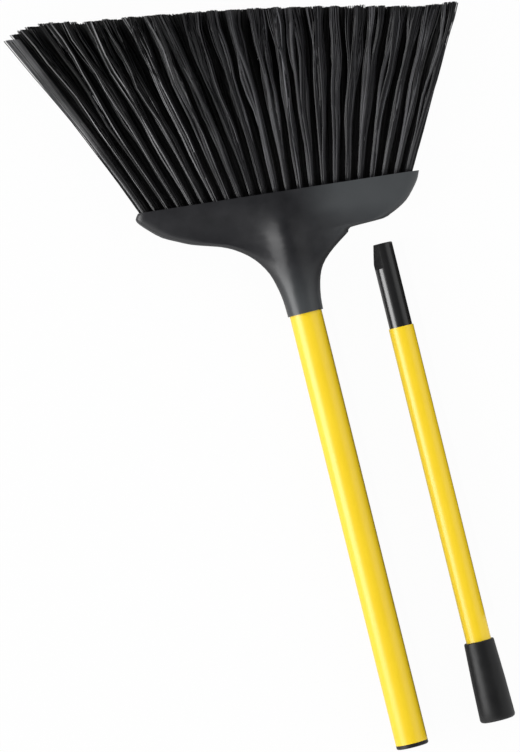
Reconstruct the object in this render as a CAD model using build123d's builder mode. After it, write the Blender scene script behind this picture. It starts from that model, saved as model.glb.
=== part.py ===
"""Angle broom with a two-piece handle, laid out flat as it comes out of its carton.

A moulded cowl holds the tufted board and grips the lower handle tube.  The upper handle section lies
loose beside it: its plug slides into the bushing in the lower tube's open end.

Millimetres and degrees.  The origin is the middle of the bushing's mouth, +Y runs along the lower
handle to the bristle tips, +X is to the right and +Z is up.
"""
import os
from math import cos, exp, hypot, pi, radians, sin, tan

from build123d import *

# Lower handle tube, and the bushing in its open end
lower_tube_diameter = 28.6
lower_tube_wall = 1.0
lower_tube_visible = 387.3
bushing_flange = 3.5
bushing_sleeve = 82.0
bushing_wall = 2.85
bushing_lead_in = 0.8
press_gap = 0.03

# Upper handle section: plug, tube and grip
plug_clearance = 0.2
plug_visible = 74.9
plug_spigot = 38.0
plug_step = 0.9
plug_edge = 0.7
plug_flat_length = 21.7
plug_flat_depth = 1.6
plug_flat_roll = 40.0
plug_slant_length = 17.0
plug_slant_depth = 3.8
upper_tube_wall = 1.5
upper_tube_visible = 283.8
grip_length = 71.2
grip_top_diameter = 26.8
grip_middle_diameter = 29.8
grip_end_diameter = 31.6
grip_floor = 7.0
grip_end_edge = 2.4
grip_top_edge = 0.7

# Where the loose upper section lies
handle_spacing = 78.4
plug_past_neck = 43.3

# Head cowl
head_length = 108.4
head_angle = 5.1
cowl_width = 252.8
cowl_thickness = 37.0
cowl_wall = 2.5
lip_wall = 1.5
pocket_corner = 8.0
ridge_thickness = 40.0
ridge_width = 12.0
web_hollow = 8.0
neck_wall = 1.5
neck_socket_depth = 62.0

# Tufted board and the screws that hold it
board_thickness = 14.0
board_gap = 0.15
board_screw_count = 3
board_screw_spacing = 58.0
board_screw_diameter = 3.0
board_screw_length = 24.0
board_screw_land = 0.3

# Bristles: tufts of four three-sided strands that fan out from the board
tuft_rows = 4
tuft_row_pitch = 6.4
tuft_pitch = 10.46
tuft_recess = 3.0
strip_thickness = 4.0
strip_gap = 0.6
strand_radius = 1.3
strand_offset = 1.25
strand_root = 1.0
bristle_length = 163.5
bristle_tip_thickness = 40.0
fan_depth = 228.0
fan_shift = 17.2
trim_angle = 6.0
trim_radius = 2080.0
corner_start = 190.0
corner_radius = 22.0
anchor_width = 3.6
anchor_depth = 3.0
anchor_thickness = 0.7

# Screw through the back of the neck into the core inside the tube
neck_screw_place = 36.0
neck_screw_diameter = 4.0
neck_screw_length = 12.0
neck_screw_head = 8.0
neck_screw_head_height = 2.4
neck_screw_recess = 1.0
neck_screw_cross = 4.4
neck_screw_cross_width = 1.1
neck_screw_cross_depth = 1.2
screw_clearance = 0.2
core_length = 45.0

# Outline of the cowl: places along the head as shares of its length, and how far its left and right
# edges have spread there from the neck to the full width
cowl_spread = [
    (0.00, 0.000, 0.000),
    (0.09, 0.003, 0.006),
    (0.18, 0.011, 0.021),
    (0.27, 0.030, 0.044),
    (0.36, 0.058, 0.084),
    (0.45, 0.114, 0.157),
    (0.53, 0.190, 0.251),
    (0.60, 0.297, 0.342),
    (0.635, 0.386, 0.370),
    (0.65, 0.445, 0.500),
    (0.665, 0.510, 0.640),
    (0.69, 0.609, 0.701),
    (0.73, 0.709, 0.775),
    (0.78, 0.820, 0.847),
    (0.85, 0.906, 0.911),
    (0.92, 0.975, 0.963),
    (0.955, 0.990, 0.982),
    (1.00, 0.960, 1.000),
]
# Form of its cross-sections: where along the head the ridge is highest and the head's angle is
# taken up, how square the last section is (2 is an ellipse), and where its spline's points lie
ridge_peak = 0.8
angle_from = 0.17
angle_to = 0.45
edge_squareness = 10.0
point_shares = (0, 0.04, 0.1, 0.2, 0.36, 0.56, 0.75, 0.88)
fine_steps = 120
tip_steps = 8

# Radii and places that follow from the sizes above
lower_tube_radius = lower_tube_diameter / 2
lower_tube_bore = lower_tube_radius - lower_tube_wall
bushing_radius = lower_tube_bore - press_gap
bushing_bore = bushing_radius - bushing_wall
plug_radius = bushing_bore - plug_clearance
upper_tube_radius = plug_radius + plug_step
upper_tube_bore = upper_tube_radius - upper_tube_wall
neck_bore = lower_tube_radius + press_gap
neck_radius = neck_bore + neck_wall
neck_y = bushing_flange + lower_tube_visible
tube_end_y = neck_y + neck_socket_depth
edge_y = neck_y + head_length
strip_top_y = edge_y - tuft_recess
board_top_y = strip_top_y - strip_thickness
pocket_floor_y = board_top_y - board_thickness
floor_z = -ridge_thickness / 2
upper_x = handle_spacing
upper_z = floor_z + grip_end_diameter / 2
plug_tip_y = neck_y + plug_past_neck
plug_shoulder_y = plug_tip_y - plug_visible
grip_top_y = plug_shoulder_y - upper_tube_visible
grip_end_y = grip_top_y - grip_length

os.makedirs("parts", exist_ok=True)


def across(y, tilt=0.0, x=0.0, z=0.0):
    """Plane across the handle, its x to the right and its y up, turned about Z; it faces the grip."""
    turn = radians(tilt)
    return Plane((x, y, z), x_dir=(cos(turn), -sin(turn), 0), z_dir=(-sin(turn), -cos(turn), 0))


def spread_at(place):
    """How far the cowl's left and right edges have spread at a place, on a smooth curve."""
    last = len(cowl_spread) - 1
    index = next((n for n in range(last) if place <= cowl_spread[n + 1][0]), last - 1)
    low, high = cowl_spread[index], cowl_spread[index + 1]
    before, after = cowl_spread[max(0, index - 1)], cowl_spread[min(last, index + 2)]
    step = high[0] - low[0]
    mix = min(1, (place - low[0]) / step)
    spreads = []
    for side in (1, 2):
        start = (high[side] - before[side]) / (high[0] - before[0]) * step
        stop = (after[side] - low[side]) / (after[0] - low[0]) * step
        change = high[side] - low[side]
        curve = start * mix + (3 * change - 2 * start - stop) * mix ** 2
        spreads.append(low[side] + curve + (start + stop - 2 * change) * mix ** 3)
    return spreads


def section_at(place):
    """Half thickness of the cowl at its rim and ridge, the hollow between them, and its squareness."""
    rim = neck_radius + (cowl_thickness / 2 - neck_radius) * place
    rise = sin(pi / 2 * (place / ridge_peak) ** 1.6)
    crown = neck_radius + (ridge_thickness / 2 - neck_radius) * rise
    hollow = web_hollow * abs(sin(pi * place ** 1.36)) ** 1.8
    square = 2 + (edge_squareness - 2) * place ** 3
    return rim, crown, hollow, square


def reach_at(spread):
    """Distance from the handle's axis to the cowl's edge."""
    return neck_radius + (cowl_width / 2 - neck_radius) * spread


def quarter_section(place, spread):
    """Points of a quarter of a cross-section, from its edge to its crown, at set shares of its length."""
    rim, crown, hollow, square = section_at(place)
    reach = reach_at(spread)
    swell = ridge_width * (1 + place / 2)

    def point(x, edge):
        web = rim - hollow * (1 - x ** 4)
        ridge = exp(-((reach * x / swell) ** 2))
        return reach * x, edge * (web + (crown - web) * ridge)

    turns = [pi / 4 * step / fine_steps for step in range(fine_steps)]
    corner = [point(cos(turn) ** (2 / square), sin(turn) ** (2 / square)) for turn in turns]
    corner_end = 0.5 ** (1 / square)
    shares = [corner_end * (1 - step / fine_steps) for step in range(fine_steps + 1)]
    fine = corner + [point(x, (1 - x ** square) ** (1 / square)) for x in shares]
    lengths = [0.0]
    for (ax, az), (bx, bz) in zip(fine, fine[1:]):
        lengths.append(lengths[-1] + hypot(bx - ax, bz - az))
    points = []
    for share in point_shares:
        wanted = share * lengths[-1]
        high = next(index for index, length in enumerate(lengths) if index and length >= wanted)
        mix = (wanted - lengths[high - 1]) / (lengths[high] - lengths[high - 1])
        points.append(tuple(a + (b - a) * mix for a, b in zip(fine[high - 1], fine[high])))
    return points + [fine[-1]]


def cowl_plane(y):
    """Plane of the cowl's cross-section that crosses the handle's axis at y."""
    place = (y - neck_y) / head_length
    share = min(1, max(0, (place - angle_from) / (angle_to - angle_from)))
    return across(y, head_angle * share)


def cowl_outline(y):
    """Closed spline round the cowl's cross-section at y.

    All the sections have their edges, crown and belly at the same parameters, so that a loft
    through them keeps its ridge straight.
    """
    place = (y - neck_y) / head_length
    left, right = spread_at(place)
    right_top = quarter_section(place, right)
    left_top = [(-x, z) for x, z in reversed(quarter_section(place, left))]
    left_low = [(x, -z) for x, z in reversed(left_top)]
    right_low = [(x, -z) for x, z in reversed(right_top)]
    rising = list(point_shares)
    falling = [0] + [1 - share for share in reversed(point_shares[1:])]
    points = []
    parameters = []
    for number, part in enumerate((right_top, left_top, left_low, right_low)):
        points += part[:-1]
        parameters += [number + share for share in (falling if number % 2 else rising)]
    return Edge.make_spline(points, periodic=True, parameters=parameters + [4.0])


def pocket_size(y, gap=0.0):
    """Middle, width and height of the pocket at y, less a gap all round; its wall thins to the lip."""
    place = (y - neck_y) / head_length
    rim, _, hollow, _ = section_at(min(1, place))
    share = (y - pocket_floor_y) / (edge_y - pocket_floor_y)
    wall = cowl_wall + (lip_wall - cowl_wall) * share + gap
    left, right = [reach_at(spread) - wall for spread in spread_at(place)]
    return (right - left) / 2, left + right, 2 * (rim - hollow - wall)


def pocket_limit(y, z, half_width, half_height):
    """Largest distance from the middle at which a piece of a half size still fits in the pocket."""
    middle, width, height = pocket_size(y, board_gap)
    into_corner = min(pocket_corner, max(0, abs(z) + half_height - height / 2 + pocket_corner))
    round_off = pocket_corner - (pocket_corner ** 2 - into_corner ** 2) ** 0.5
    return width / 2 - abs(middle) - round_off - half_width


def lean_at(x):
    """How far a bristle that leaves the board at x leans sideways for each unit that it rises."""
    return (x - fan_shift) / fan_depth


def anchor_x(x):
    """Where the line of a tuft that leaves the board at x meets the floor of its slot."""
    return x - lean_at(x) * (strip_thickness + anchor_depth)


def lip_x(x):
    """Where the line of a tuft that leaves the board at x passes the lip of the cowl."""
    return x + lean_at(x) * tuft_recess


def tuft_places(row):
    """Places of a row's tufts on the board's face, in every other row half a pitch along."""
    z = tuft_row_pitch * (row - (tuft_rows - 1) / 2)
    tuft_half = strand_offset + strand_radius
    lip_limit = pocket_limit(edge_y, z, tuft_half, tuft_half)
    slot_limit = pocket_limit(board_top_y - anchor_depth, z, anchor_width / 2, anchor_thickness / 2)
    most = int(cowl_width / tuft_pitch)
    steps = [number + (row + 1) % 2 / 2 for number in range(-most, most)]
    places = [step * tuft_pitch for step in steps]
    return [(x, z) for x in places if abs(lip_x(x)) <= lip_limit and abs(anchor_x(x)) <= slot_limit]


def tip_height(x):
    """Height of the trimmed bristle tips above the cowl's edge, with the left corner rounded off."""
    corner = max(0, -x - corner_start)
    trim = x * tan(radians(trim_angle)) + x ** 2 / (2 * trim_radius)
    return bristle_length - trim - corner ** 2 / (2 * corner_radius)


# Head cowl: an outer skin lofted along the handle, bored for the tube and hollowed for the board
outline_places = [place for place, *_ in cowl_spread]
between_places = [(low + high) / 2 for low, high in zip(outline_places, outline_places[1:])]
neck_place = neck_screw_place / head_length
neck_back_z = -section_at(neck_place)[1]
screw_seat = Plane((0, neck_y + neck_screw_place, neck_back_z + neck_screw_recess), z_dir=(0, 0, -1))
board_screws_x = [board_screw_spacing * (n - (board_screw_count - 1) / 2) for n in range(board_screw_count)]
board_top = across(board_top_y, head_angle)
with BuildPart() as head_cowl:
    for place in sorted(outline_places + between_places):
        with BuildSketch(cowl_plane(neck_y + head_length * place)):
            with BuildLine():
                add(cowl_outline(neck_y + head_length * place))
            make_face()
    loft(ruled=True)
    for y in (pocket_floor_y, board_top_y, strip_top_y, edge_y + tuft_recess):
        middle, width, height = pocket_size(y)
        with BuildSketch(cowl_plane(y)):
            with Locations((middle, 0)):
                RectangleRounded(width, height, pocket_corner)
    loft(ruled=True, mode=Mode.SUBTRACT)
    with BuildSketch(across(neck_y)):
        Circle(neck_bore)
    extrude(amount=-neck_socket_depth, mode=Mode.SUBTRACT)
    with BuildSketch(board_top):
        with Locations(*[(x, 0) for x in board_screws_x]):
            Circle(board_screw_diameter / 2 + press_gap)
    extrude(amount=board_screw_length, mode=Mode.SUBTRACT)
    with BuildSketch(screw_seat):
        Circle(neck_screw_head / 2 + screw_clearance)
    extrude(amount=neck_screw_recess + neck_screw_head_height, mode=Mode.SUBTRACT)
    with BuildSketch(screw_seat):
        Circle(neck_screw_diameter / 2 + screw_clearance)
    extrude(amount=neck_back_z + neck_screw_recess, mode=Mode.SUBTRACT)
head_cowl.part.label = "head_cowl"
export_step(head_cowl.part, "parts/head_cowl.step")

# Tufted board, seated on the floor of the cowl's pocket, with a slot under each tuft
anchor_places = [(anchor_x(x), z) for row in range(tuft_rows) for x, z in tuft_places(row)]
screw_head_radius = tuft_row_pitch / 2 - anchor_thickness / 2 - board_screw_land
with BuildPart() as tuft_board:
    for y in (pocket_floor_y, board_top_y):
        middle, width, height = pocket_size(y, board_gap)
        with BuildSketch(cowl_plane(y)):
            with Locations((middle, 0)):
                RectangleRounded(width, height, pocket_corner - board_gap)
    loft(ruled=True)
    with BuildSketch(board_top):
        with Locations(*anchor_places):
            Rectangle(anchor_width + 2 * press_gap, anchor_thickness + 2 * press_gap)
    extrude(amount=anchor_depth, mode=Mode.SUBTRACT)
    with Locations(*[board_top * Pos(x, 0, 0) * Rot(0, 180, 0) for x in board_screws_x]):
        CounterSinkHole(board_screw_diameter / 2 + press_gap, screw_head_radius + press_gap)
tuft_board.part.label = "tuft_board"
export_step(tuft_board.part, "parts/tuft_board.step")

# Countersunk screws between the middle rows of tufts, through the board into the cowl
with BuildPart() as board_screws:
    with BuildSketch(board_top):
        with Locations(*[(x, 0) for x in board_screws_x]):
            Circle(screw_head_radius)
    extrude(amount=screw_head_radius - board_screw_diameter / 2, taper=45)
    with BuildSketch(board_top):
        with Locations(*[(x, 0) for x in board_screws_x]):
            Circle(board_screw_diameter / 2)
    extrude(amount=board_screw_length)
board_screws.part.label = "board_screws"
export_step(board_screws.part, "parts/board_screws.step")

# Flat wire anchors that hold the tufts down, one in each slot
with BuildPart() as tuft_anchors:
    with BuildSketch(board_top):
        with Locations(*anchor_places):
            Rectangle(anchor_width, anchor_thickness)
    extrude(amount=anchor_depth)
tuft_anchors.part.label = "tuft_anchors"
export_step(tuft_anchors.part, "parts/tuft_anchors.step")

# Bristles, row by row: strands that fan out of a strip of the board's face and end on the trim
with BuildPart() as board_face:
    for y in (board_top_y, strip_top_y):
        middle, width, height = pocket_size(y, board_gap)
        with BuildSketch(cowl_plane(y)):
            with Locations((middle, 0)):
                RectangleRounded(width, height, pocket_corner - board_gap)
    loft(ruled=True)
row_names = ["rear", "mid_rear", "mid_front", "front"]
outer_z = tuft_row_pitch * (tuft_rows - 1) / 2 + strand_offset + strand_radius
splay = (bristle_tip_thickness / 2 / outer_z - 1) / (bristle_length + tuft_recess)
face = across(strip_top_y, head_angle)
for row, row_name in enumerate(row_names):
    with BuildPart() as bristles:
        add(board_face.part)
        with Locations((0, strip_top_y, tuft_row_pitch * (row - (tuft_rows - 1) / 2))):
            Box(2 * cowl_width, 2 * cowl_width, tuft_row_pitch - strip_gap, mode=Mode.INTERSECT)
        strands = []
        for tuft_x, tuft_z in tuft_places(row):
            for side_x, side_z in ((-1, -1), (-1, 1), (1, -1), (1, 1)):
                x = tuft_x + side_x * strand_offset
                z = tuft_z + side_z * strand_offset
                rise = bristle_length
                for _ in range(tip_steps):
                    rise = tip_height(x + lean_at(x) * (rise + tuft_recess))
                way = face.x_dir * lean_at(x) + face.y_dir * (z * splay) - face.z_dir
                with BuildSketch(face, mode=Mode.PRIVATE) as foot:
                    with Locations((x, z)):
                        RegularPolygon(strand_radius, 3)
                length = (rise + tuft_recess) * way.length
                root = foot.sketch.moved(Location(way.normalized() * -strand_root))
                strands += extrude(root, length + strand_root, dir=way, mode=Mode.PRIVATE).solids()
        add(strands)
    bristles.part.label = f"bristles_{row_name}"
    export_step(bristles.part, f"parts/bristles_{row_name}.step")

# Lower handle tube, drilled at the back for the neck screw
with BuildPart() as lower_tube:
    with BuildSketch(across(bushing_flange)):
        Circle(lower_tube_radius)
        Circle(lower_tube_bore, mode=Mode.SUBTRACT)
    extrude(amount=bushing_flange - tube_end_y)
    with BuildSketch(screw_seat):
        Circle(neck_screw_diameter / 2 + screw_clearance)
    extrude(amount=neck_back_z + neck_screw_recess, mode=Mode.SUBTRACT)
lower_tube.part.label = "lower_tube"
export_step(lower_tube.part, "parts/lower_tube.step")

# Core pressed into the tube's end, which the neck screw bites into
with BuildPart() as tube_core:
    with BuildSketch(across(tube_end_y)):
        Circle(lower_tube_bore - press_gap)
    extrude(amount=core_length)
    with BuildSketch(screw_seat):
        Circle(neck_screw_diameter / 2 + press_gap)
    extrude(amount=-neck_screw_length, mode=Mode.SUBTRACT)
tube_core.part.label = "tube_core"
export_step(tube_core.part, "parts/tube_core.step")

# Pan-head screw with a cross recess, seated at the back of the neck
with BuildPart() as neck_screw:
    with BuildSketch(screw_seat):
        Circle(neck_screw_head / 2)
    extrude(amount=neck_screw_head_height)
    chamfer(neck_screw.faces().sort_by(Axis.Z)[0].edges(), neck_screw_head_height / 2)
    with BuildSketch(screw_seat):
        Circle(neck_screw_diameter / 2)
    extrude(amount=-neck_screw_length)
    with BuildSketch(screw_seat.offset(neck_screw_head_height)):
        Rectangle(neck_screw_cross, neck_screw_cross_width)
        Rectangle(neck_screw_cross_width, neck_screw_cross)
    extrude(amount=-neck_screw_cross_depth, mode=Mode.SUBTRACT)
neck_screw.part.label = "neck_screw"
export_step(neck_screw.part, "parts/neck_screw.step")

# Flanged bushing in the lower tube's open end
with BuildPart() as socket_bushing:
    with BuildSketch(across(0)):
        Circle(lower_tube_radius)
    extrude(amount=-bushing_flange)
    with BuildSketch(across(bushing_flange)):
        Circle(bushing_radius)
    extrude(amount=-bushing_sleeve)
    with BuildSketch(across(0)):
        Circle(bushing_bore)
    extrude(amount=-(bushing_flange + bushing_sleeve), mode=Mode.SUBTRACT)
    chamfer(socket_bushing.faces().sort_by(Axis.Y)[0].edges(), bushing_lead_in)
socket_bushing.part.label = "socket_bushing"
export_step(socket_bushing.part, "parts/socket_bushing.step")

# Plug of the upper section: a spigot in the tube, and a body with a flat and a slanted side at its tip
slant_foot = (upper_x - plug_radius, plug_tip_y - plug_slant_length, upper_z)
slant_plane = Plane(slant_foot, z_dir=(-plug_slant_length, plug_slant_depth, 0))
with BuildPart() as handle_plug:
    with BuildSketch(across(plug_shoulder_y, x=upper_x, z=upper_z)):
        Circle(plug_radius)
    extrude(amount=-plug_visible)
    chamfer(handle_plug.faces().sort_by(Axis.Y)[-1].edges(), plug_edge)
    split(bisect_by=slant_plane, keep=Keep.BOTTOM)
    with BuildSketch(across(plug_tip_y, x=upper_x, z=upper_z)):
        with PolarLocations(plug_radius - plug_flat_depth, 1, start_angle=180 - plug_flat_roll):
            Rectangle(plug_radius, 2 * plug_radius, align=(Align.MIN, Align.CENTER))
    extrude(amount=plug_flat_length, mode=Mode.SUBTRACT)
    with BuildSketch(across(plug_shoulder_y, x=upper_x, z=upper_z)):
        Circle(upper_tube_bore - press_gap)
    extrude(amount=plug_spigot)
handle_plug.part.label = "handle_plug"
export_step(handle_plug.part, "parts/handle_plug.step")

# Upper handle tube, from the plug's shoulder down to the floor of the grip
with BuildPart() as upper_tube:
    with BuildSketch(across(plug_shoulder_y, x=upper_x, z=upper_z)):
        Circle(upper_tube_radius)
        Circle(upper_tube_bore, mode=Mode.SUBTRACT)
    extrude(amount=plug_shoulder_y - grip_end_y - grip_floor)
upper_tube.part.label = "upper_tube"
export_step(upper_tube.part, "parts/upper_tube.step")

# Grip: a flared sleeve with a closed end, its edges eased, given as depths from its top and diameters
grip_sections = [
    (0, grip_top_diameter - 2 * grip_top_edge),
    (grip_top_edge, grip_top_diameter),
    (grip_length / 2, grip_middle_diameter),
    (grip_length - grip_end_edge, grip_end_diameter),
    (grip_length - grip_end_edge / 3, grip_end_diameter - 2 * grip_end_edge / 3),
    (grip_length, grip_end_diameter - 2 * grip_end_edge),
]
with BuildPart() as grip:
    for depth, diameter in grip_sections:
        with BuildSketch(across(grip_top_y - depth, x=upper_x, z=upper_z)):
            Circle(diameter / 2)
    loft(ruled=True)
    with BuildSketch(across(grip_top_y, x=upper_x, z=upper_z)):
        Circle(upper_tube_radius + press_gap)
    extrude(amount=grip_length - grip_floor, mode=Mode.SUBTRACT)
grip.part.label = "grip"
export_step(grip.part, "parts/grip.step")
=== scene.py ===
# %% [markdown]
# # An angle broom with a two-piece handle
# The broom lies flat on a pale table: a winged head full of dark bristles on a yellow tube, and beside it
# the loose upper section of the handle with its plug and grip. The solid model is loaded first and stays
# where it is. This lesson gives its surfaces their finish and grows the bristles, in metres, in the solid
# model's frame.

# %% Load the solid model
import math
import random

import bmesh
import bpy
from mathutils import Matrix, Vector


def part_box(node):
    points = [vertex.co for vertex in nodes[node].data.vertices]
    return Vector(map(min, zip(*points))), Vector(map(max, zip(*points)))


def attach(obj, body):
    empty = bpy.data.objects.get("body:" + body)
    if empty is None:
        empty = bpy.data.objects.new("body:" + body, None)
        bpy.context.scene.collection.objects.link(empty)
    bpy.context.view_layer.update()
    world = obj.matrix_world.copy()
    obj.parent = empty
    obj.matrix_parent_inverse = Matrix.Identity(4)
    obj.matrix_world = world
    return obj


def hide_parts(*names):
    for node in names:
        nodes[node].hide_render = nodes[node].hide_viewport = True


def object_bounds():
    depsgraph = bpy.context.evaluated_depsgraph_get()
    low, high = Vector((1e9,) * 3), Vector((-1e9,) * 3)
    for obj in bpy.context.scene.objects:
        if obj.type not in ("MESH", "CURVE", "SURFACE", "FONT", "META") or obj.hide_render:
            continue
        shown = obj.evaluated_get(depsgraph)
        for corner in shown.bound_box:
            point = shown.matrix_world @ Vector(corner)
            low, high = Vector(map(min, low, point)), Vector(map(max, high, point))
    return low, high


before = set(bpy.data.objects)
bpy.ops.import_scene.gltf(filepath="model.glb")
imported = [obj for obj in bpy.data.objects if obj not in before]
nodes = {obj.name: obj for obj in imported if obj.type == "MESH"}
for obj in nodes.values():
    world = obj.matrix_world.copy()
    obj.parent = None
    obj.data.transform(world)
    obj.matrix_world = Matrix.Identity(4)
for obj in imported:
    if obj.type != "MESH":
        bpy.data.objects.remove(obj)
cad_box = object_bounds()
print("nodes:", ", ".join(sorted(nodes)))

# %% [markdown]
# ## Two helpers
# Colours are easiest to pick as the hex values of a paint program, which are sRGB, while Blender's sockets
# want linear light. The first helper turns one into the other. The second adds a node to any tree, sets it
# up and links it in one call, so that the trees below read from top to bottom.


# %% Helpers for colours and nodes
def linear(hex_value):
    """The linear colour, with alpha, of an sRGB hex value such as '#F2CF2B'."""
    shares = [int(hex_value[start:start + 2], 16) / 255 for start in (1, 3, 5)]
    return [s / 12.92 if s <= 0.04045 else ((s + 0.055) / 1.055) ** 2.4 for s in shares] + [1.0]


def add_node(tree, kind, inputs=None, **settings):
    """Add a node to a tree; an input, by name or number, takes a value or another node's output."""
    made = tree.nodes.new(kind)
    for name, value in settings.items():
        setattr(made, name, value)
    for name, value in (inputs or {}).items():
        if isinstance(value, bpy.types.NodeSocket):
            tree.links.new(value, made.inputs[name])
        else:
            made.inputs[name].default_value = value
    return made


print("yellow paint is", [round(v, 3) for v in linear("#F2CF2B")])

# %% [markdown]
# ## The camera
# The picture was taken from straight above with a long lens, so one scale holds all over it. The handle is
# turned by 13.9 degrees in the picture. Instead of moving the camera until things fit, its place is worked
# out from one point whose pixel is known: the middle of the neck's mouth, where the tube enters the head.

# %% Camera
picture_size = Vector((520, 752))
pixel = 0.000876
handle_turn = math.radians(13.9)
neck_pixel = Vector((305.6, 313.1))
lens = 200.0
sensor = 36.0

picture_right = Vector((math.cos(handle_turn), -math.sin(handle_turn), 0))
picture_up = Vector((math.sin(handle_turn), math.cos(handle_turn), 0))
neck_point = Vector((0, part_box("head_cowl")[0].y, 0))
from_middle = (neck_pixel - picture_size / 2) * pixel
middle = neck_point - picture_right * from_middle.x + picture_up * from_middle.y
distance = picture_size.y * pixel * lens / sensor

camera_data = bpy.data.cameras.new("camera")
camera_data.lens = lens
camera_data.sensor_fit = "VERTICAL"
camera_data.sensor_height = sensor
camera = bpy.data.objects.new("camera", camera_data)
camera.location = middle + Vector((0, 0, distance))
camera.rotation_euler = (0, 0, -handle_turn)
bpy.context.scene.collection.objects.link(camera)
bpy.context.scene.camera = camera
bpy.context.scene.view_settings.view_transform = "Standard"
print("camera", round(distance, 2), "m above", [round(v, 3) for v in middle])

# %% [markdown]
# ## The table
# The picture has a plain white ground. A floor that is lit until it turns white would also wash out the
# broom, so the table's material shows nearly plain white to the camera and a little of it to mirror-like
# rays, whatever the lamps do. Some of the real, lit surface is left in, so that the broom's shadow stays.

# %% Table
table_size = 20.0
table_z = cad_box[0].z
white_share = 0.97
mirrored_share = 0.1
bpy.ops.mesh.primitive_plane_add(size=table_size, location=(0, neck_point.y, table_z))
table = bpy.context.object
table.name = "table"
table_paint = bpy.data.materials.new("table_white_laminate")
table_paint.use_nodes = True
tree = table_paint.node_tree
tree.nodes.clear()
ray = add_node(tree, "ShaderNodeLightPath").outputs
seen = add_node(tree, "ShaderNodeMath", {0: ray["Is Camera Ray"], 1: ray["Is Transmission Ray"]},
                operation="MAXIMUM")
seen = add_node(tree, "ShaderNodeMath", {0: seen.outputs[0], 1: white_share}, operation="MULTIPLY")
mirrored = add_node(tree, "ShaderNodeMath", {0: ray["Is Glossy Ray"], 1: mirrored_share},
                    operation="MULTIPLY")
white = add_node(tree, "ShaderNodeMath", {0: seen.outputs[0], 1: mirrored.outputs[0]}, operation="MAXIMUM")
lit = add_node(tree, "ShaderNodeBsdfDiffuse", {"Color": linear("#D8D8D8")})
plain = add_node(tree, "ShaderNodeEmission", {"Color": linear("#FFFFFF"), "Strength": 1.0})
mixed = add_node(tree, "ShaderNodeMixShader", {0: white.outputs[0], 1: lit.outputs[0], 2: plain.outputs[0]})
add_node(tree, "ShaderNodeOutputMaterial", {"Surface": mixed.outputs[0]})
table.data.materials.append(table_paint)
print("table at z =", round(table_z, 4))

# %% [markdown]
# ## The light
# The tubes are pale along their left side and evenly bright over the rest. Dark pieces have one clear
# highlight on the left, and are dark where they face up or to the right. That is a studio with white walls,
# a dark ceiling and a dark right wall, one tall softbox on the left, and a fill on the right that is flagged
# off from shiny surfaces. The room is painted into the world, by the direction that a ray goes in, and the
# camera sees plain white behind the table.

# %% Softboxes
left_offset = Vector((-1.5, 0, 0.8))
left_size = (0.8, 1.2)
left_watts = 15.5
right_offset = Vector((1.5, 0, 1.1))
right_size = (1.5, 1.5)
right_watts = 14


def add_softbox(name, offset, size, watts, in_mirrors):
    """A rectangular lamp turned to the middle of the picture, which shiny surfaces mirror or not."""
    data = bpy.data.lights.new(name, "AREA")
    data.shape = "RECTANGLE"
    data.size, data.size_y = size
    data.energy = watts
    lamp = bpy.data.objects.new(name, data)
    lamp.location = middle + offset
    lamp.rotation_euler = (middle - lamp.location).to_track_quat("-Z", "Y").to_euler()
    lamp.visible_camera = False
    lamp.visible_glossy = in_mirrors
    bpy.context.scene.collection.objects.link(lamp)
    print(name, watts, "W at", [round(v, 2) for v in lamp.location])


add_softbox("softbox_left", left_offset, left_size, left_watts, True)
add_softbox("fill_right", right_offset, right_size, right_watts, False)

# %% Room
ceiling_from = 0.6
ceiling_full = 0.9
wall_strength = 1.34
ceiling_strength = 0.14
right_wall_full = 0.6
right_wall_share = 0.45
room = bpy.data.worlds.new("studio")
room.use_nodes = True
tree = room.node_tree
way = add_node(tree, "ShaderNodeTexCoord").outputs["Generated"]
height = add_node(tree, "ShaderNodeSeparateXYZ", {0: way}).outputs["Z"]
walls = add_node(tree, "ShaderNodeMapRange",
                 {"Value": height, "From Min": ceiling_from, "From Max": ceiling_full,
                  "To Min": wall_strength, "To Max": ceiling_strength},
                 interpolation_type="SMOOTHSTEP").outputs[0]
rightward = add_node(tree, "ShaderNodeVectorMath", {0: way, 1: picture_right},
                     operation="DOT_PRODUCT").outputs["Value"]
dimmed = add_node(tree, "ShaderNodeMapRange",
                  {"Value": rightward, "From Min": 0.0, "From Max": right_wall_full,
                   "To Min": 1.0, "To Max": right_wall_share},
                  interpolation_type="SMOOTHSTEP").outputs[0]
walls = add_node(tree, "ShaderNodeMath", {0: walls, 1: dimmed}, operation="MULTIPLY").outputs[0]
to_camera = add_node(tree, "ShaderNodeLightPath").outputs["Is Camera Ray"]
strength = add_node(tree, "ShaderNodeMath", {0: walls, 1: to_camera}, operation="MAXIMUM").outputs[0]
tree.links.new(strength, tree.nodes["Background"].inputs["Strength"])
tree.nodes["Background"].inputs["Color"].default_value = linear("#FFFFFF")
bpy.context.scene.world = room
print("room:", room.name)

# %% [markdown]
# ## Grey cards
# On white, pale things lose their edge, so photographers set dark cards beside them. Two grey ones give the
# tubes and the plug their dark right edge. It could be painted into the finish, but then it would stay with
# the tube when it is turned. They are a little lower than the tubes, and the camera doesn't see them.

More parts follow.
